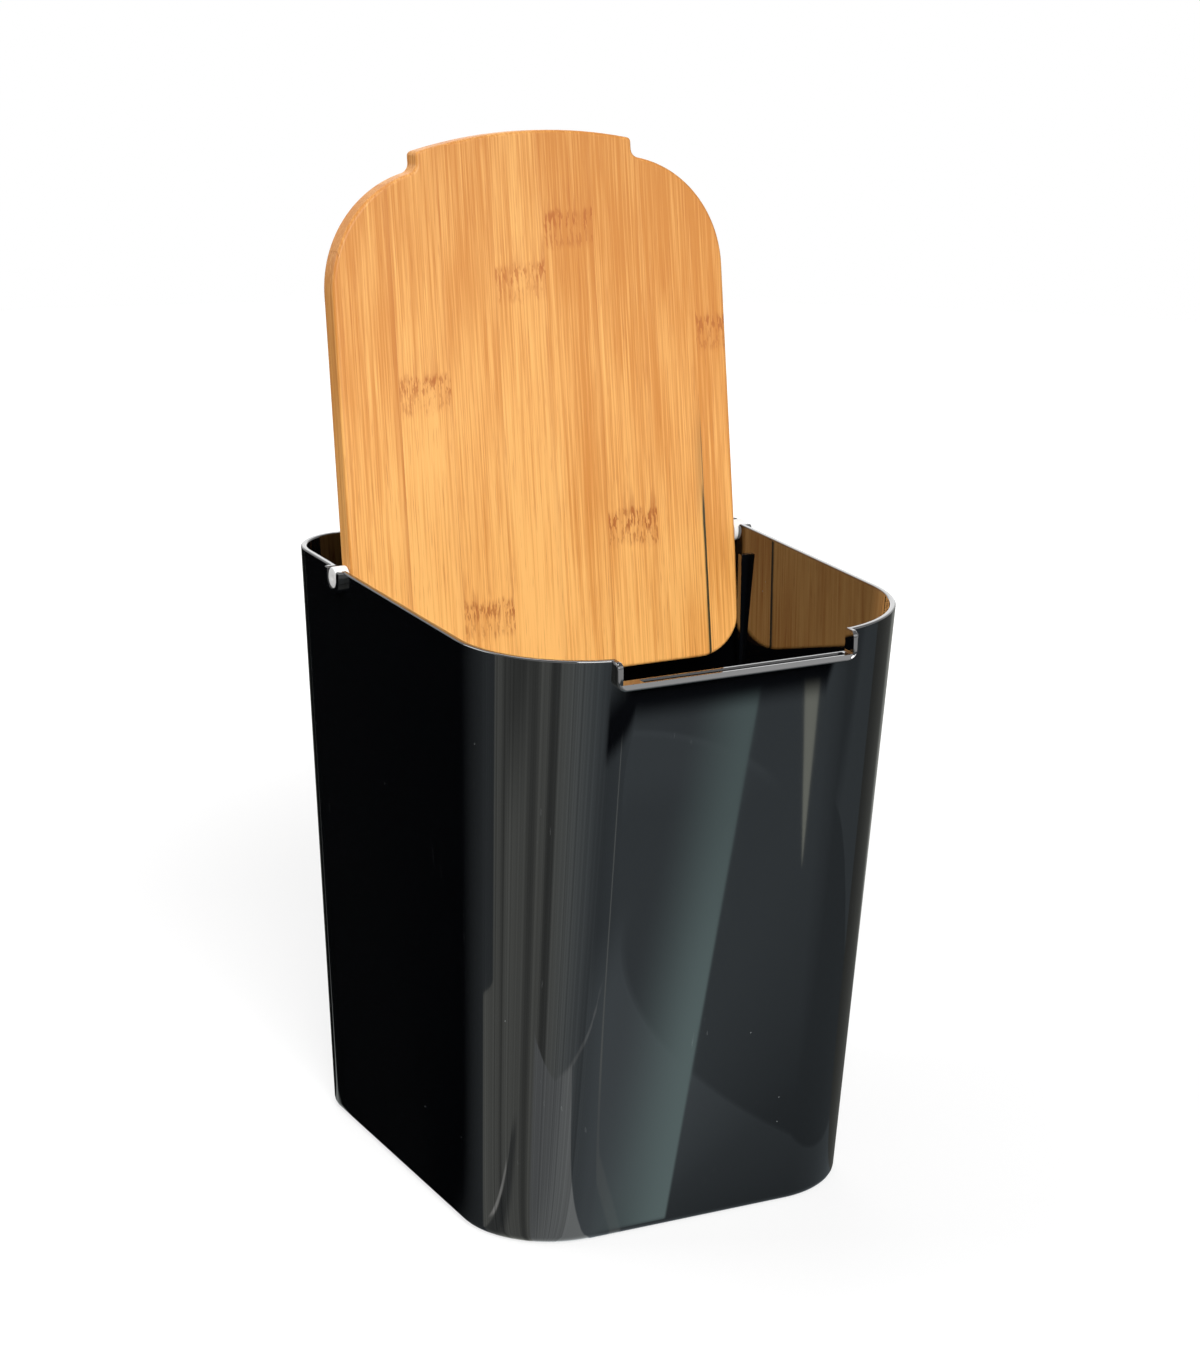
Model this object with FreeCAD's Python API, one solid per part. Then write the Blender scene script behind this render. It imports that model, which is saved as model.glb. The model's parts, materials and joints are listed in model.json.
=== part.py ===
import FreeCAD, Part
import math
import os

# A small swing-lid waste bin: a tapered moulded tub, a bamboo lid glued up from laths,
# and two nylon pins that carry the lid in open notches in the side walls.
# Millimetres. +Z is up, -Y is the front, and the origin lies on the base below the middle of the rim.

# Tub
height = 225.0
rim_width = 168.0
rim_depth = 201.0
side_taper = 9.0
front_taper = 26.0
back_taper = 5.0
rim_front_radius = 47.0
rim_back_radius = 21.0
base_front_radius = 35.0
base_back_radius = 21.0
wall = 2.2
floor_thickness = 2.5
base_edge_radius = 3.0
base_edge_steps = 4

# Pivot of the lid
pivot_from_back = 50.7
pivot_drop = 3.3
pin_radius = 4.0
pin_running_gap = 0.08
pin_end_recess = 0.3
pin_shoulder_gap = 0.25
spigot_radius = 2.5
spigot_length = 17.0
spigot_running_gap = 0.05
collar_width = 2.4
collar_reach = 2.0

# Lid
lid_thickness = 9.5
lid_gap = 1.5
lid_edge_radius = 1.4
open_lean = 8.0
tab_width = 88.0
tab_reach = 11.4
tab_front_radius = 190.0
tab_root_radius = 3.5
tab_corner_radius = 1.8
first_lath_width = 3.0
last_lath_width = 12.8
full_lath_count = 7

# Slot for the tab in the front wall, with its projecting lip
tab_side_gap = 0.8
tab_rest_gap = 0.3
lip_reach = 3.0
lip_wall = 2.2
lip_corner_radius = 4.0
lip_top_radius = 2.8
slot_corner_radius = 0.8
groove_end_gap = 5.8
groove_width = 2.4
groove_depth = 0.9

# Ribs inside the side walls that stop the open lid
rib_thickness = 2.4
rib_overlap = 1.5
rib_top_drop = 10.0
stop_gap = 0.3

# Places that follow from the sizes above
pivot_y = rim_depth / 2 - pivot_from_back
pivot_z = height - pivot_drop
underside_drop = pivot_drop + lid_thickness / 2
lid_half = rim_width / 2 - wall - side_taper * underside_drop / height - lid_gap
lid_front = rim_depth / 2 + pivot_y - wall - front_taper * underside_drop / height - lid_gap
lid_rear = rim_depth / 2 - pivot_y - wall - back_taper * underside_drop / height - lid_gap
lid_front_radius = rim_front_radius - wall - lid_gap
lid_rear_radius = rim_back_radius - wall - lid_gap
full_lath_width = (2 * lid_half - first_lath_width - last_lath_width) / full_lath_count
shelf_z = height - underside_drop - tab_rest_gap
slot_half = tab_width / 2 + tab_side_gap
lip_front_y = -rim_depth / 2 - lip_reach
collar_radius = pin_radius + pin_running_gap + collar_width
overcut = rim_depth
tolerance = 1e-6

X_AXIS = FreeCAD.Vector(1, 0, 0)
Z_AXIS = FreeCAD.Vector(0, 0, 1)


def rounded_outline(half_width, front_y, back_y, front_radius, back_radius, z):
    """Closed wire of a rectangle with two large front corners and two back ones."""
    def point(x, y):
        return FreeCAD.Vector(x, y, z)

    def corner(x, y, radius, start):
        """Three points on a quarter circle, from the angle start in degrees."""
        angles = [math.radians(start + step) for step in (0, 45, 90)]
        return [point(x + radius * math.cos(a), y + radius * math.sin(a)) for a in angles]

    corners = [
        corner(half_width - front_radius, front_y + front_radius, front_radius, -90),
        corner(half_width - back_radius, back_y - back_radius, back_radius, 0),
        corner(-half_width + back_radius, back_y - back_radius, back_radius, 90),
        corner(-half_width + front_radius, front_y + front_radius, front_radius, 180),
    ]
    edges = []
    for index, (start, middle, end) in enumerate(corners):
        following = corners[(index + 1) % len(corners)][0]
        edges.append(Part.Arc(start, middle, end).toShape())
        edges.append(Part.LineSegment(end, following).toShape())
    return Part.Wire(edges)


def tub_outline(z, inset):
    """The tub's plan at a height, drawn in by inset from its outer face."""
    lean = 1 - z / height
    return rounded_outline(
        rim_width / 2 - side_taper * lean - inset,
        -rim_depth / 2 + front_taper * lean + inset,
        rim_depth / 2 - back_taper * lean - inset,
        rim_front_radius + (base_front_radius - rim_front_radius) * lean - inset,
        rim_back_radius + (base_back_radius - rim_back_radius) * lean - inset,
        z,
    )


def stacked_solid(outlines):
    """Solid through outlines of one pattern: flat along their straight edges, ruled round their corners."""
    faces = [Part.Face(outlines[0]), Part.Face(outlines[-1])]
    for low, high in zip(outlines, outlines[1:]):
        for lower, upper in zip(low.OrderedEdges, high.OrderedEdges):
            if lower.Curve.TypeId == "Part::GeomLine":
                start, end = [vertex.Point for vertex in lower.Vertexes]
                upper_start, upper_end = [vertex.Point for vertex in upper.Vertexes]
                faces.append(Part.Face(Part.makePolygon([start, end, upper_end, upper_start, start])))
            else:
                faces.append(Part.makeRuledSurface(lower, upper))
    shell = Part.makeShell(faces)
    shell.sewShape()
    return Part.makeSolid(shell)


def rounded_tub(low_z, high_z, inset):
    """Solid of the tub's plan between two heights, with its lower edge rounded in a few steps."""
    outlines = []
    for step in range(base_edge_steps + 1):
        angle = math.radians(90 * step / base_edge_steps)
        drawn_in = base_edge_radius * (1 - math.sin(angle))
        outlines.append(tub_outline(low_z + base_edge_radius * (1 - math.cos(angle)), inset + drawn_in))
    outlines.append(tub_outline(high_z, inset))
    return stacked_solid(outlines)


def edges_at_height(shape, z):
    """The edges of a shape that lie level at one height."""
    def level(box):
        return abs(box.ZMin - z) < tolerance and abs(box.ZMax - z) < tolerance

    return [edge for edge in shape.Edges if level(edge.BoundBox)]


def edges_along_depth(edges):
    """Those of some level edges that run straight from front to back."""
    return [edge for edge in edges if edge.BoundBox.XLength < tolerance]


def block(x0, x1, y0, y1, z0, z1):
    """Box between two planes across each axis."""
    return Part.makeBox(x1 - x0, y1 - y0, z1 - z0, FreeCAD.Vector(x0, y0, z0))


def notch_profile(radius, x0, x1):
    """A half-round trough at the pivot, open upwards to the rim, between two planes across X."""
    trough = Part.makeCylinder(radius, x1 - x0, FreeCAD.Vector(x0, pivot_y, pivot_z), X_AXIS)
    throat = block(x0, x1, pivot_y - radius, pivot_y + radius, pivot_z, height + overcut)
    return trough.fuse(throat)


def below_rim(shape):
    """What is left of a shape under the rim."""
    return shape.cut(block(-overcut, overcut, -overcut, overcut, height, height + 2 * overcut))


def pivot_collar(side):
    """U-shaped boss on the outside of one side wall, around the notch for a pin."""
    faces = sorted([side * (rim_width / 2 - wall), side * (rim_width / 2 + collar_reach)])
    return below_rim(notch_profile(collar_radius, *faces))


def pin_notch(side):
    """Open notch through one side wall and its collar, in which a pin turns."""
    faces = sorted([side * lid_half, side * rim_width])
    return notch_profile(pin_radius + pin_running_gap, *faces)


def front_lip():
    """Block of the lip around the tab's slot, with rounded lower corners and eased top ends."""
    outer_half = slot_half + lip_wall
    inner_y = -rim_depth / 2 + rim_front_radius
    low_z = shelf_z - lip_wall
    body = block(-outer_half, outer_half, lip_front_y, inner_y, low_z, height)
    body = body.makeFillet(lip_corner_radius, edges_along_depth(edges_at_height(body, low_z)))
    front_top = [e for e in edges_at_height(body, height) if e.BoundBox.YMax < lip_front_y + tolerance]
    return body.makeFillet(lip_top_radius, front_top)


def tab_slot():
    """The cut that lets the lid's tab lie in the front wall."""
    inner_y = -rim_depth / 2 + rim_front_radius
    cut = block(-slot_half, slot_half, -overcut, inner_y, shelf_z, height + overcut)
    return cut.makeFillet(slot_corner_radius, edges_along_depth(edges_at_height(cut, shelf_z)))


def shelf_groove():
    """Shallow round-ended groove along the top of the slot's shelf."""
    inner_y = -rim_depth / 2 + front_taper * (height - shelf_z) / height + wall
    middle_y = (inner_y + lip_front_y) / 2
    radius = groove_width / 2
    half = slot_half - groove_end_gap - radius
    floor_z = shelf_z - groove_depth
    groove = block(-half, half, middle_y - radius, middle_y + radius, floor_z, height)
    for x in (-half, half):
        end_foot = FreeCAD.Vector(x, middle_y, floor_z)
        groove = groove.fuse(Part.makeCylinder(radius, height - floor_z, end_foot, Z_AXIS))
    return groove


def stop_rib(side):
    """Upright rib inside one side wall, just ahead of the open lid's lower end."""
    lean = math.radians(open_lean)
    corner_run = max(lid_rear_radius - rib_overlap, 0)
    touch = lid_rear - lid_rear_radius + math.sqrt(lid_rear_radius ** 2 - corner_run ** 2)
    back_y = pivot_y - touch * math.sin(lean) - lid_thickness / 2 * math.cos(lean) - stop_gap
    faces = sorted([side * (lid_half - rib_overlap), side * rim_width / 2])
    return block(*faces, back_y - rib_thickness, back_y, floor_thickness / 2, height - rib_top_drop)


def bin_body():
    """The moulded tub: shell, collars, slot lip and stop ribs in one piece."""
    outside = rounded_tub(0, height, 0)
    cavity = rounded_tub(floor_thickness, height + wall, wall)
    body = outside.fuse([front_lip(), pivot_collar(-1), pivot_collar(1)]).cut(cavity)
    body = body.fuse([stop_rib(side).common(outside) for side in (-1, 1)])
    return body.cut([tab_slot(), shelf_groove(), pin_notch(-1), pin_notch(1)])


def pivot_pin(side):
    """Nylon pin: a journal in the wall's notch and a thinner spigot in the lid's edge."""
    outer = rim_width / 2 + collar_reach - pin_end_recess
    shoulder = lid_half + pin_shoulder_gap
    tip = lid_half - spigot_length
    journal_foot = FreeCAD.Vector(side * shoulder, pivot_y, pivot_z)
    spigot_foot = FreeCAD.Vector(side * tip, pivot_y, pivot_z)
    journal = Part.makeCylinder(pin_radius, outer - shoulder, journal_foot, X_AXIS * side)
    spigot = Part.makeCylinder(spigot_radius, shoulder - tip, spigot_foot, X_AXIS * side)
    return journal.fuse(spigot).removeSplitter()


def lid_board():
    """The whole lid lying closed, before it is split into laths."""
    low_z = pivot_z - lid_thickness / 2
    high_z = pivot_z + lid_thickness / 2
    shoulder_y = pivot_y - lid_front
    rear_y = pivot_y + lid_rear
    tip_y = shoulder_y - tab_reach
    plan = rounded_outline(lid_half, shoulder_y, rear_y, lid_front_radius, lid_rear_radius, low_z)
    board = Part.Face(plan).extrude(Z_AXIS * lid_thickness)
    arc_centre = FreeCAD.Vector(0, tip_y + tab_front_radius, low_z)
    rounding = Part.makeCylinder(tab_front_radius, lid_thickness, arc_centre, Z_AXIS)
    tab = block(-tab_width / 2, tab_width / 2, tip_y, pivot_y, low_z, high_z).common(rounding)
    board = board.fuse(tab).removeSplitter()
    board = board.makeFillet(tab_root_radius, step_edges(board, shoulder_y, 1))
    board = board.makeFillet(tab_corner_radius, step_edges(board, shoulder_y, -1))
    rims = edges_at_height(board, low_z) + edges_at_height(board, high_z)
    return board.makeFillet(lid_edge_radius, rims)


def step_edges(board, shoulder_y, side):
    """Upright edges at the tab's sides: its roots for side 1 and its front corners for side -1."""
    middle_y = shoulder_y - tab_corner_radius
    upright = [edge for edge in board.Edges if edge.BoundBox.ZLength > lid_thickness / 2]
    beside_tab = [e for e in upright if abs(abs(e.CenterOfMass.x) - tab_width / 2) < tolerance]
    return [e for e in beside_tab if side * (e.CenterOfMass.y - middle_y) > 0]


def lid_laths():
    """The open lid's laths from left to right, drilled for the pins."""
    board = lid_board()
    for side in (-1, 1):
        tip = FreeCAD.Vector(side * (lid_half - spigot_length - pin_shoulder_gap), pivot_y, pivot_z)
        bore = Part.makeCylinder(spigot_radius + spigot_running_gap, overcut, tip, X_AXIS * side)
        board = board.cut(bore)
    laths = []
    left = -lid_half
    for width in [first_lath_width] + [full_lath_width] * full_lath_count + [last_lath_width]:
        lath = board.common(block(left, left + width, -overcut, overcut, 0, 2 * height))
        lath.rotate(FreeCAD.Vector(0, pivot_y, pivot_z), X_AXIS, -(90 + open_lean))
        laths.append(lath)
        left += width
    return laths


os.makedirs("parts", exist_ok=True)
bin_body().exportStep("parts/bin_body.step")
pivot_pin(-1).exportStep("parts/left_pivot_pin.step")
pivot_pin(1).exportStep("parts/right_pivot_pin.step")
for number, lath in enumerate(lid_laths(), 1):
    lath.exportStep("parts/lid_lath_%d.step" % number)
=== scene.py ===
import json
import math

import bmesh
import bpy
from mathutils import Matrix, Vector


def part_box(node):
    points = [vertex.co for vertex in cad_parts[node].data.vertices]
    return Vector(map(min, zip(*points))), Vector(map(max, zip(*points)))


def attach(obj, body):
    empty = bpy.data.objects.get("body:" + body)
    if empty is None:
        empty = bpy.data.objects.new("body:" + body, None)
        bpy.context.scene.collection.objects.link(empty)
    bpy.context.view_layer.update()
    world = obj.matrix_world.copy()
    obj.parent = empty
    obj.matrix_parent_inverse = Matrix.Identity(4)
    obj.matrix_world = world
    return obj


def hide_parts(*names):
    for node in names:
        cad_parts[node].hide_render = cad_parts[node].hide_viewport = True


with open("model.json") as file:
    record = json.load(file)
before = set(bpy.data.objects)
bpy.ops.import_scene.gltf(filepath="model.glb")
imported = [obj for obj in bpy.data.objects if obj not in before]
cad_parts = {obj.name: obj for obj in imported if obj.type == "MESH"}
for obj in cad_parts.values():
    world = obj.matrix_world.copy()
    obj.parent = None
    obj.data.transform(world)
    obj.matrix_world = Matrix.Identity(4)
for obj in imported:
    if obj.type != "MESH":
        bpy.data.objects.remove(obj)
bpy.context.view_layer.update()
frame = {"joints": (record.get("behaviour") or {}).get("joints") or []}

# Tub: one black injection moulding with drafted walls, thin enough to show a light line along its rim.
# The collars of the pin notches, the lip of the tab's slot and the stop ribs are moulded on in one piece.
tub_low, tub_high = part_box("bin_body")
tub_height = tub_high.z
rim_half = 0.084
rim_front = -0.1005
rim_back = 0.1005
side_taper = 0.009
front_taper = 0.026
back_taper = 0.005
rim_front_radius = 0.047
base_front_radius = 0.035
back_radius = 0.021
wall = 0.0022
floor_thickness = 0.0025
foot_radius = 0.003
foot_steps = 5
corner_steps = 24

slot_half = 0.0448
shelf_z = 0.21665
lip_wall = 0.0022
lip_half = slot_half + lip_wall
lip_low = shelf_z - lip_wall
lip_front = tub_low.y
lip_back = -0.09765
lip_corner = 0.004
lip_steps = 8
lip_round = 0.00045
lip_outer_round = 0.0009
lip_slope = 0.0009
lip_inset = 0.0004
post_round = 0.0025
post_ease = 0.0008
post_steps = 5
slot_corner = 0.0008
slot_steps = 4
groove_left, groove_right = -0.0362, 0.0430
groove_width = 0.0035
groove_depth = 0.0012
groove_fall = 0.0007

lid_hinge = next(joint for joint in frame["joints"] if joint["name"] == "lid_swing")
pivot = Vector(lid_hinge["pos_m"])
notch_radius = 0.00408
collar_radius = 0.00648
collar_face = tub_high.x
notch_steps = 16
patch_half = 0.0088
patch_depth = 0.0125

lid_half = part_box("lid_lath_9")[1].x
rib_edge = lid_half - 0.0015
rib_front = 0.03731
rib_back = 0.03971
rib_top = 0.215
rim_round = 0.0007

edge_ease = 0.00038
near_enough = edge_ease / 9
sharp_angle = math.radians(38)


def arc_ring(mesh, z, arcs):
    """Edges of a closed level outline: arcs spun round their centres and joined by straight edges."""
    known = set(mesh.edges)
    starts, ends = [], []
    for x, y, radius, degrees, sweep, steps in arcs:
        turn = math.radians(degrees)
        start = mesh.verts.new((x + radius * math.cos(turn), y + radius * math.sin(turn), z))
        arc = bmesh.ops.spin(
            mesh, geom=[start], cent=(x, y, z), axis=(0, 0, 1), angle=math.radians(sweep), steps=steps)
        starts.append(start)
        ends.append(next(part for part in arc["geom_last"] if isinstance(part, bmesh.types.BMVert)))
    for end, start in zip(ends, starts[1:] + starts[:1]):
        mesh.edges.new((end, start))
    return [edge for edge in mesh.edges if edge not in known]


def tub_ring(mesh, z, inset):
    """The tub's plan at a height, drawn in from its outer face."""
    lean = 1 - z / tub_height
    front_corner = rim_front_radius + (base_front_radius - rim_front_radius) * lean
    half = rim_half - side_taper * lean - inset
    front = rim_front + front_taper * lean + inset
    back = rim_back - back_taper * lean - inset
    front_corner -= inset
    back_corner = back_radius - inset
    return arc_ring(mesh, z, (
        (half - front_corner, front + front_corner, front_corner, -90, 90, corner_steps),
        (half - back_corner, back - back_corner, back_corner, 0, 90, corner_steps),
        (back_corner - half, back - back_corner, back_corner, 90, 90, corner_steps),
        (front_corner - half, front + front_corner, front_corner, 180, 90, corner_steps),
    ))


def faces_where(mesh, test):
    """Faces whose centre and normal pass a test."""
    return [face for face in mesh.faces if test(face.calc_center_median(), face.normal)]


def cut(mesh, faces, axis, places):
    """Cuts some faces along planes across an axis, and leaves their neighbours joined."""
    normal = Vector([float(axis == name) for name in "xyz"])
    for place in places:
        touched = set(faces)
        touched.update(edge for face in faces for edge in face.edges)
        touched.update(vert for face in faces for vert in face.verts)
        made = bmesh.ops.bisect_plane(
            mesh, geom=list(touched), plane_co=normal * place, plane_no=normal, dist=1e-7)
        faces = [part for part in made["geom"] if isinstance(part, bmesh.types.BMFace)]
    return faces


def ease(mesh, edges, radius, segments, clamp=True):
    """Rounds edges over."""
    bmesh.ops.bevel(
        mesh, geom=edges, affect="EDGES", offset=radius, offset_type="OFFSET",
        segments=segments, profile=0.5, material=-1, clamp_overlap=clamp,
    )


def sharp_edges(mesh):
    """Edges at which two faces meet in a corner."""
    return [edge for edge in mesh.edges if edge.is_manifold and edge.calc_face_angle() > sharp_angle]


def drawn_out(mesh, faces, keep=False):
    """Extrudes faces and gives the new corners, for the caller to move."""
    made = bmesh.ops.extrude_face_region(mesh, geom=faces)["geom"]
    if not keep:
        bmesh.ops.delete(mesh, geom=faces, context="FACES")
    return [part for part in made if isinstance(part, bmesh.types.BMVert)]


tub = bmesh.new()
turns = [math.pi / 2 * step / foot_steps for step in range(foot_steps + 1)]
levels = [(foot_radius * (1 - math.cos(t)), foot_radius * (1 - math.sin(t))) for t in turns]
levels += [(tub_height, 0), (tub_height, wall)]
levels += [(floor_thickness + z, wall + inset) for z, inset in levels[foot_steps::-1]]
rings = [tub_ring(tub, z, inset) for z, inset in levels]
inner_rim = list({vert for edge in rings[foot_steps + 2] for vert in edge.verts})
# Two loops in one plane are joined askew, so the rim's inner loop is lowered while they are bridged.
bmesh.ops.translate(tub, verts=inner_rim, vec=(0, 0, -wall))
for lower, upper in zip(rings, rings[1:]):
    bmesh.ops.bridge_loops(tub, edges=lower + upper)
bmesh.ops.translate(tub, verts=inner_rim, vec=(0, 0, wall))
bmesh.ops.contextual_create(tub, geom=rings[-1])
bmesh.ops.contextual_create(tub, geom=rings[0])
bmesh.ops.recalc_face_normals(tub, faces=tub.faces)

# The slot for the lid's tab is cut through the front wall, a little wider than the lip that lines it.
front_faces = faces_where(
    tub, lambda centre, normal: centre.y < rim_front + rim_front_radius and centre.z > lip_low / 2)
cut_half = slot_half + lip_inset
cut_z = shelf_z - lip_inset
front_faces = cut(tub, front_faces, "x", (-cut_half, cut_half))
front_faces = [face for face in front_faces if abs(face.calc_center_median().x) < cut_half]
cut(tub, front_faces, "z", (cut_z,))
opened = faces_where(
    tub, lambda centre, normal: abs(centre.x) < cut_half and centre.z > cut_z and centre.y < 0)
bmesh.ops.delete(tub, geom=opened, context="FACES")
rim_of_slot = [edge for edge in tub.edges if edge.is_boundary]
outer_chain = [edge for edge in rim_of_slot if edge.link_faces[0].normal.y < -0.5]
inner_chain = [edge for edge in rim_of_slot if edge.link_faces[0].normal.y > 0.5]
bmesh.ops.bridge_loops(tub, edges=outer_chain + inner_chain)
bmesh.ops.recalc_face_normals(tub, faces=tub.faces)

# The lip is a bar bent to a U round the slot, drawn lying flat and then tipped up.
lip = bmesh.new()
post_top = tub_height - edge_ease / 8
lip_outline = arc_ring(lip, -lip_back, (
    (lip_half - lip_corner, lip_low + lip_corner, lip_corner, -90, 90, lip_steps),
    (lip_half - post_ease, post_top - post_ease, post_ease, 0, 90, slot_steps),
    (slot_half + post_ease, post_top - post_ease, post_ease, 90, 90, slot_steps),
    (slot_half - slot_corner, shelf_z + slot_corner, slot_corner, 0, -90, slot_steps),
    (slot_corner - slot_half, shelf_z + slot_corner, slot_corner, 270, -90, slot_steps),
    (-slot_half - post_ease, post_top - post_ease, post_ease, 0, 90, slot_steps),
    (post_ease - lip_half, post_top - post_ease, post_ease, 90, 90, slot_steps),
    (lip_corner - lip_half, lip_low + lip_corner, lip_corner, 180, 90, lip_steps),
))
lip_face = bmesh.ops.contextual_create(lip, geom=lip_outline)["faces"]
for vert in drawn_out(lip, lip_face, keep=True):
    vert.co.z = -lip_front
bmesh.ops.rotate(lip, verts=lip.verts, cent=(0, 0, 0), matrix=Matrix.Rotation(math.pi / 2, 3, "X"))
cut(lip, lip.faces[:], "x", (slot_corner - slot_half, slot_half - slot_corner))
cut(lip, lip.faces[:], "z", (shelf_z, shelf_z + slot_corner))
post_levels = [math.sin(math.pi / 2 * step / post_steps) for step in range(post_steps)]
cut(lip, lip.faces[:], "z", [tub_height - post_round + post_round * level for level in post_levels])
# The posts are rounded back at their tops, and the front of the bar leans back below the slot.
for vert in [vert for vert in lip.verts if vert.co.y < (lip_front + lip_back) / 2]:
    rise = max(0, vert.co.z - tub_height + post_round)
    vert.co.y += post_round - math.sqrt(post_round ** 2 - rise ** 2)
    drop = 1 - (vert.co.z - shelf_z) / slot_corner
    if abs(vert.co.x) < slot_half + edge_ease and 0 < drop < 1.1:
        vert.co.y += lip_slope * drop
bmesh.ops.recalc_face_normals(lip, faces=lip.faces)

# A shallow groove runs along the shelf of the slot.
shelf_faces = faces_where(
    lip, lambda centre, normal: abs(centre.z - shelf_z) < near_enough and normal.z > 0.9)
groove_y = (lip_front + lip_slope + lip_back) / 2
groove_sides = (groove_y - groove_width / 2, groove_y + groove_width / 2)
shelf_faces = cut(lip, shelf_faces, "x", (groove_left, groove_right))
shelf_faces = cut(lip, shelf_faces, "y", groove_sides)
groove_faces = []
for face in shelf_faces:
    centre = face.calc_center_median()
    if groove_left < centre.x < groove_right and groove_sides[0] < centre.y < groove_sides[1]:
        groove_faces.append(face)
for vert in drawn_out(lip, groove_faces):
    vert.co.z -= groove_depth + groove_fall * (vert.co.y - groove_sides[0]) / groove_width
bmesh.ops.recalc_face_normals(lip, faces=lip.faces)
inner_edges, outer_edges = [], []
for edge in sharp_edges(lip):
    middle = (edge.verts[0].co + edge.verts[1].co) / 2
    in_shelf = abs(middle.z - shelf_z) < lip_wall and middle.y > lip_front + 1.5 * lip_slope
    outside = abs(middle.x) > slot_half + 0.3 * lip_wall or middle.z < shelf_z - 0.3 * lip_wall
    if middle.y < lip_front + 1.1 * post_round and not in_shelf:
        (outer_edges if outside else inner_edges).append(edge)
ease(lip, outer_edges, lip_outer_round, segments=4)
ease(lip, [edge for edge in inner_edges if edge.is_valid], lip_round, segments=3)
ease(lip, sharp_edges(lip), edge_ease / 2, segments=2)


def u_chain(mesh, x, radius):
    """Edges of a U round the pivot, from the rim down, round and up again, at one place across the bin."""
    known = set(mesh.edges)
    top = mesh.verts.new((x, pivot.y - radius, tub_height))
    start = mesh.verts.new((x, pivot.y - radius, pivot.z))
    arc = bmesh.ops.spin(
        mesh, geom=[start], cent=(x, pivot.y, pivot.z), axis=(1, 0, 0), angle=math.pi, steps=notch_steps)
    end = next(part for part in arc["geom_last"] if isinstance(part, bmesh.types.BMVert))
    far_top = mesh.verts.new((x, pivot.y + radius, tub_height))
    mesh.edges.new((top, start))
    mesh.edges.new((end, far_top))
    return [edge for edge in mesh.edges if edge not in known]


# Each side wall has an open notch for a pin, with a raised collar round it on the outside.
for side in (-1, 1):
    side_faces = faces_where(
        tub, lambda centre, normal: centre.x * side > rim_half / 2 and centre.z > tub_height / 4)
    side_faces = cut(tub, side_faces, "y", (pivot.y - patch_half, pivot.y + patch_half))
    side_faces = [face for face in side_faces if abs(face.calc_center_median().y - pivot.y) < patch_half]
    cut(tub, side_faces, "z", (tub_height - patch_depth,))
    patch = faces_where(
        tub, lambda centre, normal: centre.x * side > rim_half / 2
        and abs(centre.y - pivot.y) < patch_half and centre.z > tub_height - patch_depth)
    bmesh.ops.delete(tub, geom=patch, context="FACES")
    edge_of_patch = [edge for edge in tub.edges if edge.is_boundary]
    chains = []
    for way in (side, -side):
        chain = [edge for edge in edge_of_patch if edge.link_faces[0].normal.x * way > 0.5]
        known = set(tub.edges) - set(chain)
        bmesh.ops.subdivide_edges(tub, edges=chain, cuts=(notch_steps + 2) // len(chain) - 1)
        chains.append([edge for edge in tub.edges if edge not in known and edge.is_boundary])
    wall_chain = u_chain(tub, side * rim_half, collar_radius)
    for vert in {vert for edge in wall_chain for vert in edge.verts}:
        vert.co.x = side * (rim_half - side_taper * (1 - vert.co.z / tub_height))
    inner_notch = u_chain(tub, side * (rim_half - wall), notch_radius)
    for vert in {vert for edge in inner_notch for vert in edge.verts}:
        vert.co.x = side * (rim_half - wall - side_taper * (1 - vert.co.z / tub_height))
    outer_collar = u_chain(tub, side * collar_face, collar_radius)
    outer_notch = u_chain(tub, side * collar_face, notch_radius)
    steps = [chains[0], wall_chain, outer_collar, outer_notch, inner_notch, chains[1]]
    for near, far in zip(steps, steps[1:]):
        bmesh.ops.bridge_loops(tub, edges=near + far)
    bmesh.ops.holes_fill(tub, edges=[edge for edge in tub.edges if edge.is_boundary], sides=0)

# A rib on the inside of each side wall stops the open lid, and fades into the draft of the wall below.
rib_foot = tub_height * (1 - (rim_half - wall - rib_edge) / side_taper)
for side in (-1, 1):
    bmesh.ops.recalc_face_normals(tub, faces=tub.faces)
    inside = faces_where(
        tub, lambda centre, normal: centre.x * side > rim_half / 2 and normal.x * side < -0.5
        and centre.y < pivot.y - notch_radius and centre.z > rib_foot / 2)
    inside = cut(tub, inside, "y", (rib_front, rib_back))
    inside = [face for face in inside if rib_front < face.calc_center_median().y < rib_back]
    inside = cut(tub, inside, "z", (rib_foot, rib_top))
    rib_faces = [face for face in inside if rib_foot < face.calc_center_median().z < rib_top]
    for vert in drawn_out(tub, rib_faces):
        vert.co.x = side * rib_edge

bmesh.ops.remove_doubles(tub, verts=tub.verts, dist=2e-6)
bmesh.ops.recalc_face_normals(tub, faces=tub.faces)

# The rim is rounded most, the other edges a little, and the lip is joined on last.
rim_edges = []
for edge in sharp_edges(tub):
    if min(vert.co.z for vert in edge.verts) > tub_height - near_enough:
        rim_edges.append(edge)
ease(tub, rim_edges, rim_round, segments=4)
ease(tub, sharp_edges(tub), edge_ease, segments=2)
bar = bpy.data.meshes.new("lip")
lip.to_mesh(bar)
lip.free()
tub.from_mesh(bar)
bpy.data.meshes.remove(bar)
bmesh.ops.dissolve_degenerate(tub, edges=tub.edges, dist=2e-6)
bmesh.ops.recalc_face_normals(tub, faces=tub.faces)


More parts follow.
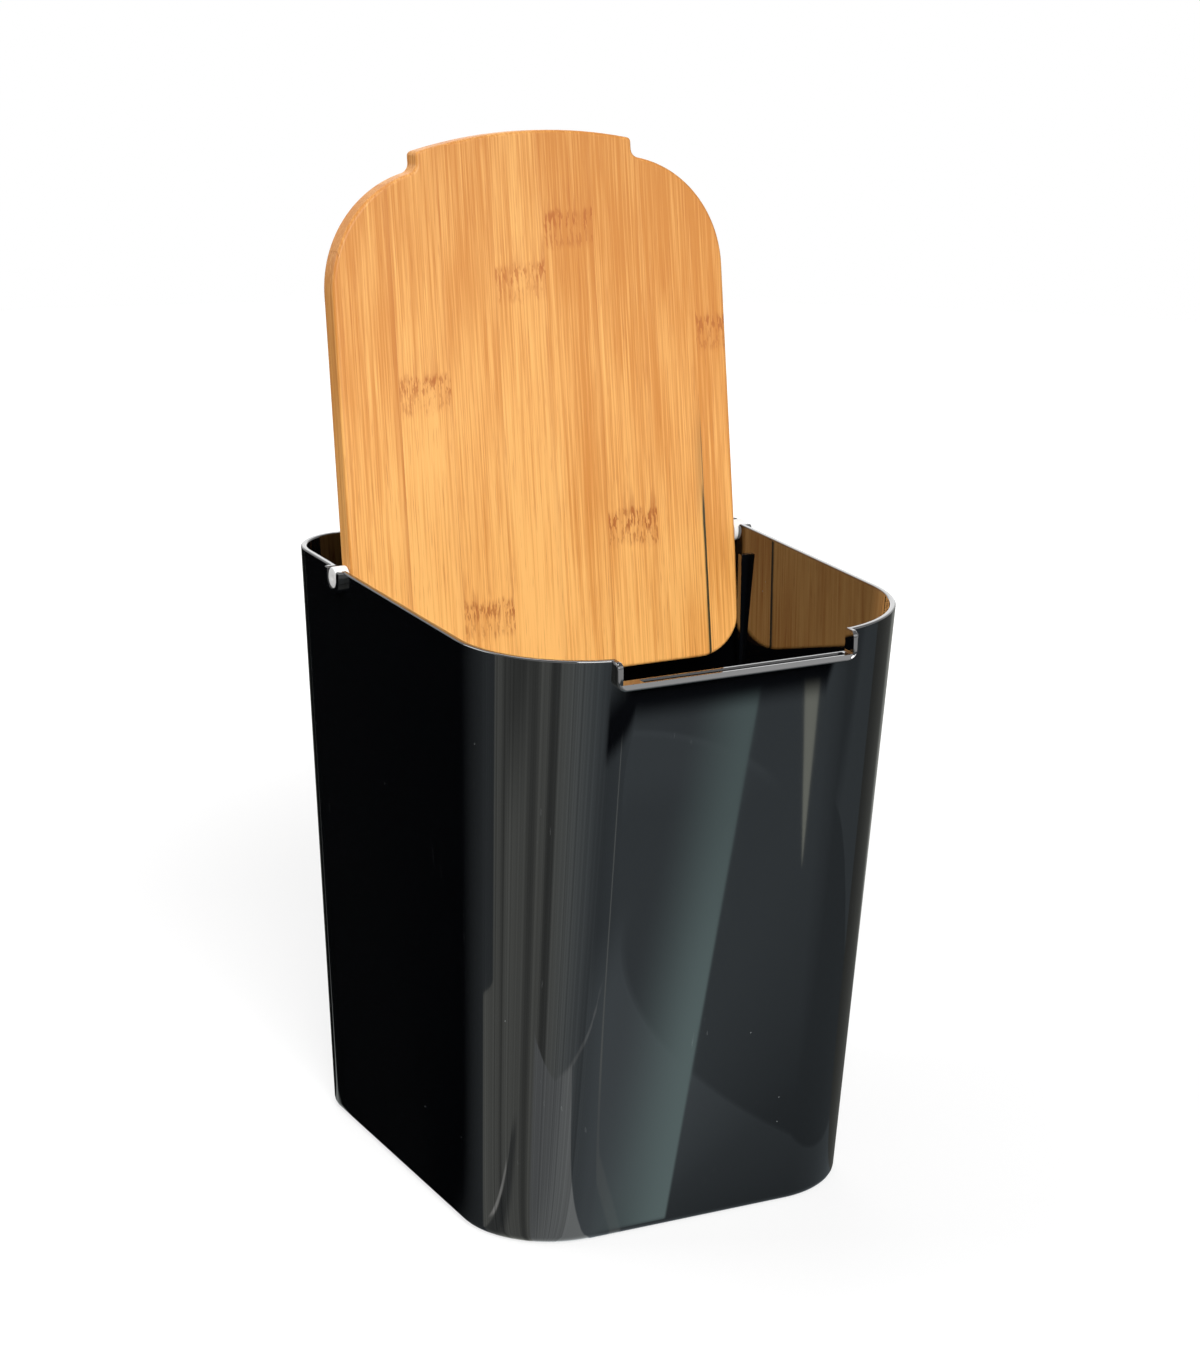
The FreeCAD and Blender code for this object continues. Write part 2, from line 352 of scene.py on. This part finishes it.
def make_piece(name, mesh, body, *nodes):
    """Turns a finished bmesh into a smooth shaded piece that stands for CAD nodes."""
    data = bpy.data.meshes.new(name)
    mesh.to_mesh(data)
    mesh.free()
    data.shade_smooth()
    data.set_sharp_from_angle(angle=math.radians(60))
    piece = bpy.data.objects.new(name, data)
    bpy.context.scene.collection.objects.link(piece)
    weighting = piece.modifiers.new("flat_faces", "WEIGHTED_NORMAL")
    weighting.keep_sharp = True
    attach(piece, body)
    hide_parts(*nodes)
    return piece


class Field:
    """A value over a surface: one socket of a node tree, with arithmetic that adds Math nodes."""

    def __init__(self, tree, socket=None):
        self.tree = tree
        self.socket = socket

    def node(self, kind, inputs=None, settings=None, output=0):
        """Adds a node, sets its settings first, then sets or links its sockets."""
        made = self.tree.nodes.new("ShaderNode" + kind)
        for name, value in (settings or {}).items():
            if name == "stops":
                while len(made.color_ramp.elements) < len(value):
                    made.color_ramp.elements.new(1)
                for element, (position, colour) in zip(made.color_ramp.elements, value):
                    element.position = position
                    element.color = (*colour, 1)
            else:
                setattr(made, name, value)
        for name, value in (inputs or {}).items():
            if isinstance(value, Field):
                self.tree.links.new(value.socket, made.inputs[name])
            else:
                made.inputs[name].default_value = value
        return Field(self.tree, made.outputs[output] if made.outputs else None)

    def math(self, operation, *values):
        return self.node("Math", dict(enumerate(values)), {"operation": operation})

    def __add__(self, other):
        return self.math("ADD", self, other)

    def __sub__(self, other):
        return self.math("SUBTRACT", self, other)

    def __rsub__(self, other):
        return self.math("SUBTRACT", other, self)

    def __mul__(self, other):
        return self.math("MULTIPLY", self, other)

    def __abs__(self):
        return self.math("ABSOLUTE", self)

    __radd__ = __add__
    __rmul__ = __mul__

    def fade(self, low, high):
        """0 below low and 1 above high, or the other way round, with a smooth step between."""
        limits = {"Value": self, "From Min": low, "From Max": high}
        return self.node("MapRange", limits, {"interpolation_type": "SMOOTHSTEP"})

    def mix(self, first, second):
        """A colour between two, by this value."""
        return self.node("Mix", {0: self, 6: first, 7: second}, {"data_type": "RGBA"}, output=2)

    def stretched(self, *scales):
        """These coordinates, scaled by an amount along each axis."""
        return self.node("VectorMath", {0: self, 1: scales}, {"operation": "MULTIPLY"})

    def noise(self, scale, detail=2.0, roughness=0.5):
        sockets = {"Vector": self, "Scale": scale, "Detail": detail, "Roughness": roughness}
        return self.node("TexNoise", sockets)

    def scaled(self, amount):
        """This colour, made lighter or darker by an amount."""
        return self.node("VectorMath", {0: self, "Scale": amount}, {"operation": "SCALE"})

    def highest(self, other):
        return self.math("MAXIMUM", self, other)


def new_finish(name):
    """A material with an empty node tree, and the field that adds nodes to it."""
    material = bpy.data.materials.new(name)
    material.use_nodes = True
    material.node_tree.nodes.clear()
    return material, Field(material.node_tree)


def close_finish(root, sockets):
    """Ends a material's tree in a Principled shader."""
    shader = root.node("BsdfPrincipled", sockets)
    root.node("OutputMaterial", {"Surface": shader})


tub_black, dust_grey = (0.0020, 0.0023, 0.0030, 1), (0.34, 0.36, 0.36, 1)


def black_gloss():
    """Polished black plastic with faint smears, dust specks and a few hairline scratches."""
    material, root = new_finish("black_gloss")
    place = root.node("TexCoord", output="Object")
    smear = place.stretched(1, 1, 0.35).noise(38, 4, 0.6)
    cells = {"Vector": place, "Scale": 210.0}
    distance = root.node("TexVoronoi", cells, output="Distance")
    chance = root.node("SeparateColor", {"Color": root.node("TexVoronoi", cells, output="Color")})
    speck = distance.fade(0.075, 0.03) * chance.fade(0.965, 0.97)
    lines = place.stretched(1100, 1100, 34).noise(1, 1)
    scratch = lines.fade(0.76, 0.775) * place.noise(22, 1).fade(0.6, 0.68)
    mark = (speck * 0.5).highest(scratch * 0.12)
    bump = root.node("Bump", {"Height": place.noise(24, 1), "Strength": 0.03, "Distance": 0.0006})
    close_finish(root, {
        "Base Color": mark.mix(tub_black, dust_grey),
        "Roughness": 0.03 + 0.06 * smear.fade(0.45, 0.8) + 0.3 * mark,
        "Coat Weight": 0.8,
        "Coat Roughness": 0.02,
        "Normal": bump,
    })
    return material


tub_piece = make_piece("bin_shell", tub, "tub", "bin_body")
tub_piece.data.materials.append(black_gloss())

# Pivot pins: two round white nylon mouldings, with a thick journal in the wall and a thin spigot in the lid.
# They are pushed into the lid's edge and drop into the open notches of the tub.
pin_radius = 0.004
spigot_radius = 0.0025
spigot_tip = 0.017
shoulder_gap = 0.00025
end_recess = 0.0003
pin_ease = 0.0005
gate_radius = 0.0011
gate_depth = 0.0002
pin_steps = 40


def white_nylon():
    """Natural nylon, slightly milky, with a fine matt grain."""
    material, root = new_finish("white_nylon")
    place = root.node("TexCoord", output="Object")
    cloud = place.noise(300, 3)
    bump = root.node("Bump", {"Height": place.noise(2600, 2), "Strength": 0.12, "Distance": 0.0001})
    close_finish(root, {
        "Base Color": cloud.mix((0.74, 0.73, 0.71, 1), (0.86, 0.86, 0.85, 1)),
        "Roughness": 0.36 + 0.16 * cloud,
        "Subsurface Weight": 0.12,
        "Subsurface Radius": (0.002, 0.0018, 0.0015),
        "Normal": bump,
    })
    return material


nylon = white_nylon()
for side, name in ((-1, "left_pivot_pin"), (1, "right_pivot_pin")):
    pin = bmesh.new()
    shoulder = lid_half + shoulder_gap
    end = collar_face - end_recess
    profile = [
        (lid_half - spigot_tip, 0),
        (lid_half - spigot_tip, spigot_radius - pin_ease),
        (lid_half - spigot_tip + pin_ease, spigot_radius),
        (shoulder, spigot_radius),
        (shoulder, pin_radius - pin_ease / 2),
        (shoulder + pin_ease / 2, pin_radius),
        (end - pin_ease, pin_radius),
        (end - pin_ease / 3, pin_radius - pin_ease / 3),
        (end, pin_radius - pin_ease),
        (end, gate_radius),
        (end - gate_depth, gate_radius - gate_depth),
        (end - gate_depth, 0),
    ]
    points = [pin.verts.new((side * x, pivot.y, pivot.z + radius)) for x, radius in profile]
    outline = [pin.edges.new(pair) for pair in zip(points, points[1:])]
    bmesh.ops.spin(
        pin, geom=points + outline, cent=pivot, axis=(1, 0, 0), angle=2 * math.pi, steps=pin_steps,
        use_merge=True)
    bmesh.ops.remove_doubles(pin, verts=pin.verts, dist=1e-6)
    bmesh.ops.recalc_face_normals(pin, faces=pin.faces)
    piece = make_piece(name + "_nylon", pin, "pins", name)
    piece.data.materials.append(nylon)

# Lid: nine bamboo laths glued edge to edge, planed flat, cut to the tub's plan with a finger tab and eased.
# The laths keep their own colour and knots, painted shade darkens them towards the tab end and towards the
# right side, and a dark glue line shows between the last two.
lid_thickness = 0.0095
lid_front = pivot.y - 0.14567
lid_back = pivot.y + 0.046821
lid_front_radius = 0.0433
lid_back_radius = 0.0173
lid_steps = 28
tab_half = 0.044
tab_reach = 0.0114
tab_radius = 0.19
tab_root = 0.0035
tab_corner = 0.0018
tab_steps = 18
tab_corner_steps = 6
lid_ease = 0.0014
bore_radius = 0.00255
bore_steps = 32
opening_turn = math.radians(-lid_hinge["range_deg"][1])
lath_names = ["lid_lath_%d" % number for number in range(1, 10)]


def lid_outline():
    """Arcs of the lid's plan, with its finger tab at the front, all tangent to one another."""
    corner_x, corner_y = lid_half - lid_front_radius, lid_front + lid_front_radius
    root_x = tab_half + tab_root
    root_y = corner_y - math.sqrt((lid_front_radius + tab_root) ** 2 - (root_x - corner_x) ** 2)
    root_turn = 180 - math.degrees(math.atan2(corner_y - root_y, corner_x - root_x))
    tip_y = lid_front - tab_reach + tab_radius
    end_x = tab_half - tab_corner
    end_y = tip_y - math.sqrt((tab_radius - tab_corner) ** 2 - end_x ** 2)
    tip_turn = math.degrees(math.asin(end_x / (tab_radius - tab_corner)))
    back_x, back_y = lid_half - lid_back_radius, lid_back - lid_back_radius
    return (
        (0, tip_y, tab_radius, -90 - tip_turn, 2 * tip_turn, tab_steps),
        (end_x, end_y, tab_corner, tip_turn - 90, 90 - tip_turn, tab_corner_steps),
        (root_x, root_y, tab_root, 180, -root_turn, tab_corner_steps),
        (corner_x, corner_y, lid_front_radius, -root_turn, root_turn, lid_steps),
        (back_x, back_y, lid_back_radius, 0, 90, lid_steps // 2),
        (-back_x, back_y, lid_back_radius, 90, 90, lid_steps // 2),
        (-corner_x, corner_y, lid_front_radius, 180, root_turn, lid_steps),
        (-root_x, root_y, tab_root, root_turn, -root_turn, tab_corner_steps),
        (-end_x, end_y, tab_corner, 180, 90 - tip_turn, tab_corner_steps),
    )


def lid_board():
    """The whole lid lying closed: its plan as a flat face, thickened and eased."""
    board = bmesh.new()
    outline = arc_ring(board, pivot.z - lid_thickness / 2, lid_outline())
    bmesh.ops.contextual_create(board, geom=outline)
    for vert in drawn_out(board, board.faces[:], keep=True):
        vert.co.z += lid_thickness
    bmesh.ops.recalc_face_normals(board, faces=board.faces)
    rims = [e for e in board.edges if e.is_manifold and e.calc_face_angle() > math.radians(70)
            and abs(e.verts[0].co.z - e.verts[1].co.z) < edge_ease]
    ease(board, rims, lid_ease, segments=5, clamp=False)
    return board


def drilled(board):
    """Bores the lid's two edges for the pins."""
    data = bpy.data.meshes.new("board")
    board.to_mesh(data)
    board.free()
    blank = bpy.data.objects.new("board", data)
    bpy.context.scene.collection.objects.link(blank)
    drills = []
    for side in (-1, 1):
        shape = bmesh.new()
        bmesh.ops.create_cone(
            shape, cap_ends=True, segments=bore_steps, radius1=bore_radius, radius2=bore_radius,
            depth=2 * spigot_tip)
        lying = Matrix.Rotation(math.pi / 2, 3, "Y")
        bmesh.ops.rotate(shape, verts=shape.verts, cent=(0, 0, 0), matrix=lying)
        mouth = (side * (lid_half - shoulder_gap), pivot.y, pivot.z)
        bmesh.ops.translate(shape, verts=shape.verts, vec=mouth)
        tool = bpy.data.meshes.new("drill")
        shape.to_mesh(tool)
        shape.free()
        drill = bpy.data.objects.new("drill", tool)
        bpy.context.scene.collection.objects.link(drill)
        bore = blank.modifiers.new("bore", "BOOLEAN")
        bore.object = drill
        bore.solver = "EXACT"
        drills.append(drill)
    bored = bpy.data.meshes.new_from_object(blank.evaluated_get(bpy.context.evaluated_depsgraph_get()))
    for used in [blank] + drills:
        bpy.data.objects.remove(used)
    board = bmesh.new()
    board.from_mesh(bored)
    return board


bamboo_pale, bamboo_deep = (0.89, 0.455, 0.128, 1), (0.61, 0.232, 0.038, 1)
bamboo_brown = (0.40, 0.120, 0.016, 1)
glue_black = (0.030, 0.026, 0.008, 1)
# How fast the laths deepen and darken towards the tab end, as painted shade.
painted_shade_rise, painted_light_fall = 1.9, 1.3
knot_wander = 0.006
ridge_reach = (0.0048, 0.0014)
lower_drop = 0.0068
lower_reach = (0.005, 0.0012)
wisp_reach = (0.018, 0.002)
seam_line, seam_shadow = 0.0004, 0.0035


def bamboo(name, seed, tone_and_shade, knots, right, seam_depth, glue):
    """Lacquered bamboo: long fibres, short dark bundles, knots at given places along the lath, and painted
    shade that darkens it towards the tab end.
    """
    material, root = new_finish(name)
    place = root.node("TexCoord", output="Object")
    on_lid = {"Vector": place, "Location": pivot, "Rotation": (opening_turn, 0, 0)}
    board = root.node("Mapping", on_lid, {"vector_type": "TEXTURE"})
    shifted = root.node("VectorMath", {0: board, 1: (0, seed * 0.37, seed * 0.11)}, {"operation": "ADD"})
    across = root.node("SeparateXYZ", {0: board}, output=0)
    length = 0 - root.node("SeparateXYZ", {0: board}, output=1)

    cloud = shifted.stretched(70, 14, 70).noise(1, 2)
    broad = shifted.stretched(240, 16, 240).noise(1, 3, 0.6)
    fibre = shifted.stretched(1480, 17, 1480).noise(1, 2, 0.6)
    bundle = shifted.stretched(2100, 60, 2100).noise(1, 2, 0.6)
    wander = shifted.stretched(330, 60, 330).noise(1, 2) - 0.5
    crackle = shifted.stretched(1000, 190, 1000).noise(1, 2, 0.6)
    wisp = shifted.stretched(520, 45, 520).noise(1, 2)

    # Besides the grain, the colour deepens and darkens towards the tab end, which stands at the top of the
    # open lid: painted shade.
    shade = 0.62 * cloud + 0.25 * broad + 1.40 * fibre + painted_shade_rise * length - 0.84 + tone_and_shade
    colour = shade.fade(0.05, 0.8).mix(bamboo_pale, bamboo_deep).scaled(0.995 - painted_light_fall * length)
    dark = bundle.fade(0.56, 0.74) * 0.42
    for knot, strength in knots:
        off = length - knot + wander * knot_wander
        ridge = abs(off).fade(*ridge_reach) * (0.20 + 0.85 * crackle.fade(0.49, 0.57))
        lower = abs(off + lower_drop).fade(*lower_reach) * (0.14 + 0.55 * crackle.fade(0.51, 0.6))
        above = off.fade(*wisp_reach) * off.fade(0.0, wisp_reach[1]) * wisp.fade(0.48, 0.62) * 0.5
        dark = dark + strength * (ridge + lower + above)
    line = across.fade(right - seam_line, right - 0.00005)
    shadow = across.fade(right - seam_shadow, right)
    dark = dark + seam_depth * (0.3 * line + 0.3 * shadow)
    colour = dark.math("MINIMUM", dark, 1.0).mix(colour, bamboo_brown)
    if glue:
        thick = (across + wander * 0.0005).fade(right - 0.0014, right - 0.0006) * length.fade(0.027, 0.01)
        thin = across.fade(right - 0.0006, right - 0.0001) * length.fade(0.052, 0.034)
        stain = across.fade(right - 0.005, right) * length.fade(0.056, 0.03) * length.fade(0.0, 0.02)
        colour = thick.highest(thin * 0.8).highest(stain * 0.3).mix(colour, glue_black)
    relief = fibre * 0.6 + bundle * 0.4 - dark * 0.4
    bump = root.node("Bump", {"Height": relief, "Strength": 0.16, "Distance": 0.0002})
    close_finish(root, {
        "Base Color": colour,
        "Roughness": 0.42 + 0.14 * fibre + 0.1 * dark,
        "Specular IOR Level": 0.35,
        "Normal": bump,
    })
    return material


grain_step = 1.7
glued_lath = 8
# Each lath has its own tone, and the last laths are darker still, as painted shade at the lid's right side.
lath_tones_and_shade = (0.05, 0.09, -0.07, 0.04, -0.11, 0.10, 0.06, 0.12, 0.16)
seam_depths = (0.4, 1.0, 0.5, 0.4, 0.5, 0.5, 0.3, 0.0, 0.0)
lath_knots = {
    3: ((0.067, 0.75),),
    4: ((-0.0185, 0.8),),
    5: ((0.105, 0.7),),
    6: ((0.1235, 0.95),),
    7: ((0.0095, 1.05),),
    9: ((0.0805, 0.85),),
}
whole_lid = drilled(lid_board())
for number, name in enumerate(lath_names, 1):
    left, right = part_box(name)[0].x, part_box(name)[1].x
    lath = whole_lid.copy()
    for place, way in ((left, -1), (right, 1)):
        if abs(abs(place) - lid_half) > edge_ease:
            bmesh.ops.bisect_plane(
                lath, geom=lath.verts[:] + lath.edges[:] + lath.faces[:], dist=1e-7,
                plane_co=(place, 0, 0), plane_no=(way, 0, 0), clear_outer=True)
            bmesh.ops.holes_fill(lath, edges=[e for e in lath.edges if e.is_boundary], sides=0)
    bmesh.ops.recalc_face_normals(lath, faces=lath.faces)
    bmesh.ops.rotate(lath, verts=lath.verts, cent=pivot, matrix=Matrix.Rotation(opening_turn, 3, "X"))
    piece = make_piece(name + "_bamboo", lath, "lid", name)
    piece.data.materials.append(
        bamboo("bamboo_%d" % number, number * grain_step, lath_tones_and_shade[number - 1], lath_knots.get(number, ()),
               right, seam_depths[number - 1], number == glued_lath))
whole_lid.free()

# Studio: a pale floor that keeps the bin's shadow, a soft key lamp in front, a lamp above and behind, and
# weaker lamps at both sides. Cards that only gloss can see lie and stand round the bin, for it to mirror.
floor_radius = 1.7
floor_steps = 64
floor_drop = 0.0002
floor_grey = (0.30, 0.30, 0.30, 1)
glow_near, glow_more = 0.70, 0.30
fill_level = 0.06
white = (1, 1, 1, 1)


def seen_white(root, strength):
    """Strength of the background for what the camera sees, also in gloss and through glass."""
    camera_ray = root.node("LightPath", output="Is Camera Ray")
    glossy_ray = root.node("LightPath", output="Is Glossy Ray")
    glass_ray = root.node("LightPath", output="Is Transmission Ray")
    return camera_ray.highest(glossy_ray).highest(glass_ray) * strength


def stage_piece(name, mesh, material):
    """Turns a finished bmesh into an object of the studio, which is no piece of the bin."""
    data = bpy.data.meshes.new(name)
    mesh.to_mesh(data)
    mesh.free()
    data.materials.append(material)
    piece = bpy.data.objects.new(name, data)
    bpy.context.scene.collection.objects.link(piece)
    return piece


floor_mesh = bmesh.new()
bmesh.ops.create_circle(floor_mesh, cap_ends=True, segments=floor_steps, radius=floor_radius)
bmesh.ops.translate(floor_mesh, verts=floor_mesh.verts, vec=(0, 0, -floor_drop))
floor_paint, root = new_finish("floor_paint")
matt = root.node("BsdfDiffuse", {"Color": floor_grey})
place = root.node("TexCoord", output="Object")
away = root.node("VectorMath", {0: place}, {"operation": "LENGTH"}, output="Value")
# Away from the bin the floor glows more: painted light that makes up for the lamps' fall-off there.
glow_level = glow_near + glow_more * away.fade(0.3, 0.8)
glow = root.node("Emission", {"Color": white, "Strength": seen_white(root, glow_level)})
root.node("OutputMaterial", {"Surface": root.node("AddShader", {0: matt, 1: glow})})
stage_piece("floor", floor_mesh, floor_paint)

world = bpy.data.worlds.new("studio")
world.use_nodes = True
world.node_tree.nodes.clear()
bpy.context.scene.world = world
root = Field(world.node_tree)
sky_level = fill_level + seen_white(root, 1 - fill_level)
sky = root.node("Background", {"Color": white, "Strength": sky_level})
root.node("OutputWorld", {"Surface": sky})

# The floor card has stripes of light that run out from the bin's front left corner, as levels over one turn.
# In front of the bin it has a band with one sharp edge, a thin line, a narrow wedge and two faint arcs.
card_half = 8.0
stripe_centre = (-0.053, -0.061)
warm_light, cool_light = (0.97, 1.0, 0.93, 1), (0.86, 1.0, 1.08, 1)
stripes = (
    (0.00, 0.095), (0.07, 0.10), (0.09, 0.27), (0.13, 0.25), (0.15, 0.09), (0.24, 0.045), (0.27, 0.003),
    (0.400, 0.003), (0.405, 0.485), (0.492, 0.46), (0.499, 0.20), (0.507, 0.55), (0.562, 0.52),
    (0.573, 0.29), (0.587, 0.32), (0.595, 0.57), (0.613, 0.55), (0.623, 0.23), (0.637, 0.26),
    (0.647, 0.635), (0.690, 0.63), (0.722, 0.52), (0.764, 0.33), (0.775, 0.34), (0.82, 0.39), (0.87, 0.37),
    (0.92, 0.20), (1.00, 0.095),
)
streak_scale = 190.0
left_edge, left_step, left_soft = 0.4345, 0.036, 0.003
dim_dark, dim_light = (0, 0, 0, 1), (0.17, 0.19, 0.20, 1)
zone_left, zone_corner, zone_right = (-0.1635, -0.1551), (-0.1029, -0.1625), (0.0141, -0.2403)
zone_side = ((-0.067, -0.1735), (-0.049, -0.1054))
zone_soft = 0.001
zone_low, zone_high = (0.74, 0.78, 0.80, 1), (1.12, 1.18, 1.18, 1)
zone_line = (0.86, 0.90, 0.90, 1)
hook_line = ((-0.1226, -0.0712), (-0.0805, -0.0506))
hook_light, hook_dark = (1.3, 1.3, 1.25, 1), (0.05, 0.06, 0.07, 1)
low_arc = (0.182, -0.182, 0.140)
high_arc = (0.131, -0.353, 0.053)
arc_soft = 0.0004
thin_line = ((0.081, -0.453), (-0.0216, -0.1035))
thin_half = 0.0014
thin_light = (0.84, 0.90, 0.88, 1)
band_edge = ((0.219, -0.425), (-0.004, -0.085))
band_soft = 0.0006
band_fade = 0.032
band_end = -0.076
band_light = (0.74, 1.0, 1.0, 1)
wedge_tip = (0.161, -0.280)
wedge_left, wedge_right = math.radians(-60.3), math.radians(-58.2)
wedge_soft = 0.006
wedge_light = (1.45, 1.5, 1.3, 1)
post_light = (2.4, 2.4, 2.4, 1)

card = bmesh.new()
bmesh.ops.create_grid(card, x_segments=1, y_segments=1, size=card_half)
card_paint, root = new_finish("mirror_card")
place = root.node("TexCoord", output="Object")
x = root.node("SeparateXYZ", {0: place}, output=0)
y = root.node("SeparateXYZ", {0: place}, output=1)


def turn_round(centre):
    """The direction from a point on the floor, in radians."""
    return x.math("ARCTAN2", y - centre[1], x - centre[0])


def past_line(start, end):
    """How far past a straight line on the floor, negative on its other side."""
    way = (Vector(end) - Vector(start)).normalized()
    return (start[0] - x) * way.y - (start[1] - y) * way.x


def past_circle(centre_x, centre_y, radius):
    """How far outside a circle on the floor, as the difference of squares."""
    return (x - centre_x) * (x - centre_x) + (y - centre_y) * (y - centre_y) - radius ** 2


signed_turn = turn_round(stripe_centre) * (0.5 / math.pi)
turn = signed_turn.math("FRACT", signed_turn)
at_corner = turn.fade(0.42, 0.44) * turn.fade(0.78, 0.74)
at_front = turn.fade(0.755, 0.765)
level = root.node("ValToRGB", {"Fac": turn}, {"stops": [(at, (grey,) * 3) for at, grey in stripes]})
light = turn.fade(0.60, 0.80).mix(warm_light, cool_light).scaled(level)

# The stripes end at the left in a dim part, with a step in its edge, and some are weaker far from the bin.
left_shift = left_step * x.fade(-0.247, -0.267)
at_left = (turn - left_shift).fade(left_edge + left_soft, left_edge - left_soft) * turn.fade(0.30, 0.33)
light = at_left.mix(light, turn.fade(0.34, 0.475).mix(dim_dark, dim_light))
far_off = x.fade(-0.36, -0.54) * turn.fade(0.495, 0.515) * turn.fade(0.58, 0.55)
light = light.scaled(1 - 0.5 * far_off)

# Close to the bin lies a lighter zone with a bent outer edge, and left of it a short bright hook.
left_part = past_line(zone_left, zone_corner).fade(-zone_soft, zone_soft)
past_right = past_line(zone_corner, zone_right)
inside = past_line(*zone_side)
zone = left_part.highest(past_right.fade(-zone_soft, zone_soft))
zone = zone * turn.fade(0.60, 0.615) * inside.fade(-band_soft, band_soft)
light = (zone * 0.8).mix(light, inside.fade(0.034, 0.004).mix(zone_low, zone_high))
edge_line = abs(past_right).fade(0.0030, 0.0008) * x.fade(-0.104, -0.090) * x.fade(0.014, -0.02)
light = (edge_line * 0.5).mix(light, zone_line)
off_hook = past_line(*hook_line)
shade = off_hook.fade(-0.0012, -0.0030) * off_hook.fade(-0.0150, -0.0080) * x.fade(-0.150, -0.128)
light = (shade * 0.6).mix(light, hook_dark)
hook = abs(off_hook).fade(0.0020, 0.0006) * x.fade(-0.124, -0.110) * x.fade(-0.083, -0.088)
light = hook.mix(light, hook_light)
streaks = root.node("TexNoise", {"W": turn, "Scale": streak_scale, "Detail": 3.0}, {"noise_dimensions": "1D"})
light = light.scaled(1 + at_corner * (0.18 + 1.3 * (streaks - 0.5)))

# In front the arcs bound slightly lighter parts, and the thin line, the band and the wedge lie over them.
low_reach = y.fade(-0.285, -0.215)
low_part = past_circle(*low_arc).fade(0.0, arc_soft) * low_reach
low_line = abs(past_circle(*low_arc)).fade(0.0006, 0.0) * low_reach
high_reach = y.fade(-0.335, -0.375)
high_part = past_circle(*high_arc).fade(0.0, -arc_soft) * high_reach
high_line = abs(past_circle(*high_arc)).fade(0.0005, 0.0) * x.fade(0.12, 0.14) * high_reach
arcs_level = 0.50 * low_part + 0.25 * low_line + 0.16 * high_part + 0.3 * high_line
light = light.scaled(1 + at_front * arcs_level)
thin = abs(past_line(*thin_line)).fade(2 * thin_half, thin_half) * (0.4 + 0.6 * y.fade(-0.14, -0.19))
light = thin.mix(light, thin_light)
past_edge = past_line(*band_edge)
band = past_edge.fade(-band_soft, band_soft) * past_edge.fade(band_fade, 0.0)
band = band * y.fade(band_end, band_end - 0.004)
light = band.mix(light, band_light)
wedge_turn = turn_round(wedge_tip)
wedge = wedge_turn.fade(wedge_left - wedge_soft, wedge_left)
wedge = wedge * wedge_turn.fade(wedge_right + wedge_soft, wedge_right)
light = wedge.mix(light, wedge_light)

# The far part shows in the upright posts of the lip, and the part that the wall just under the lip mirrors is
# dark, a painted shadow of the lip.
light = y.fade(-0.60, -0.66).mix(light, post_light)
painted_lip_shadow = y.fade(-0.408, -0.431) * y.fade(-0.5, -0.45) * at_front
light = light.scaled((1 + 0.35 * band * y.fade(-0.36, -0.16)) * (1 - painted_lip_shadow))
root.node("OutputMaterial", {"Surface": root.node("Emission", {"Color": light})})


def glossy_only(piece):
    """Leaves a card to be seen in gloss alone, so that it throws no light on the object."""
    piece.visible_camera = False
    piece.visible_diffuse = False
    piece.visible_shadow = False
    piece.visible_transmission = False


glossy_only(stage_piece("mirror_card", card, card_paint))

# A card in front to the right shows in the lip, and one behind shows in the top of the rim.
for name, place, half, strength in (
        ("lip_card", (0.70, -1.33, 0.97), 0.5, 3.4),
        ("rim_card", (0.75, 1.45, 0.72), 0.6, 1.8)):
    upright = bmesh.new()
    bmesh.ops.create_grid(upright, x_segments=1, y_segments=1, size=half)
    facing = (Vector((0, 0, shelf_z)) - Vector(place)).to_track_quat("Z", "Y").to_matrix()
    bmesh.ops.rotate(upright, verts=upright.verts, cent=(0, 0, 0), matrix=facing)
    bmesh.ops.translate(upright, verts=upright.verts, vec=place)
    paint, root = new_finish(name)
    root.node("OutputMaterial", {"Surface": root.node("Emission", {"Strength": strength})})
    glossy_only(stage_piece(name, upright, paint))

lamp_aim = Vector((0, 0, 0.22))
for name, place, width, height, watts in (
        ("key_lamp", (-0.30, -1.35, 1.05), 0.7, 0.7, 32),
        ("fill_lamp", (1.2, -1.0, 0.8), 1.0, 1.0, 2),
        ("top_lamp", (0.0, 0.6, 1.6), 1.2, 0.8, 12),
        ("left_lamp", (-1.2, 0.7, 0.8), 0.8, 0.8, 10)):
    lamp = bpy.data.lights.new(name, "AREA")
    lamp.shape = "RECTANGLE"
    lamp.size = width
    lamp.size_y = height
    lamp.energy = watts
    piece = bpy.data.objects.new(name, lamp)
    piece.location = place
    piece.rotation_euler = (lamp_aim - Vector(place)).to_track_quat("-Z", "Y").to_euler()
    piece.visible_camera = False
    bpy.context.scene.collection.objects.link(piece)

# Camera: a long lens at the height and angle from which the bin is shown, aimed at the middle of its height.
# It stands in front to the left and looks down a little, so the open mouth and the slot's shelf are seen.
azimuth, elevation, roll = math.radians(-27.05), math.radians(16.77), math.radians(0.54)
distance = 1.3696
aim_side, aim_height = -0.00071, 0.18294
focal_pixels = 3728.74
image_height = 1372

level_back = Vector((math.sin(azimuth), -math.cos(azimuth), 0))
back = level_back * math.cos(elevation) + Vector((0, 0, math.sin(elevation)))
level_right = Vector((math.cos(azimuth), math.sin(azimuth), 0))
level_up = back.cross(level_right)
right = level_right * math.cos(roll) + level_up * math.sin(roll)
up = level_up * math.cos(roll) - level_right * math.sin(roll)
lens = bpy.data.cameras.new("camera")
lens.sensor_width = 36
lens.lens = focal_pixels * lens.sensor_width / image_height
camera = bpy.data.objects.new("camera", lens)
camera.matrix_world = Matrix((right, up, back)).transposed().to_4x4()
camera.location = Vector((0, 0, aim_height)) + right * aim_side + back * distance
bpy.context.scene.collection.objects.link(camera)
bpy.context.scene.camera = camera
bpy.context.scene.view_settings.view_transform = "Standard"
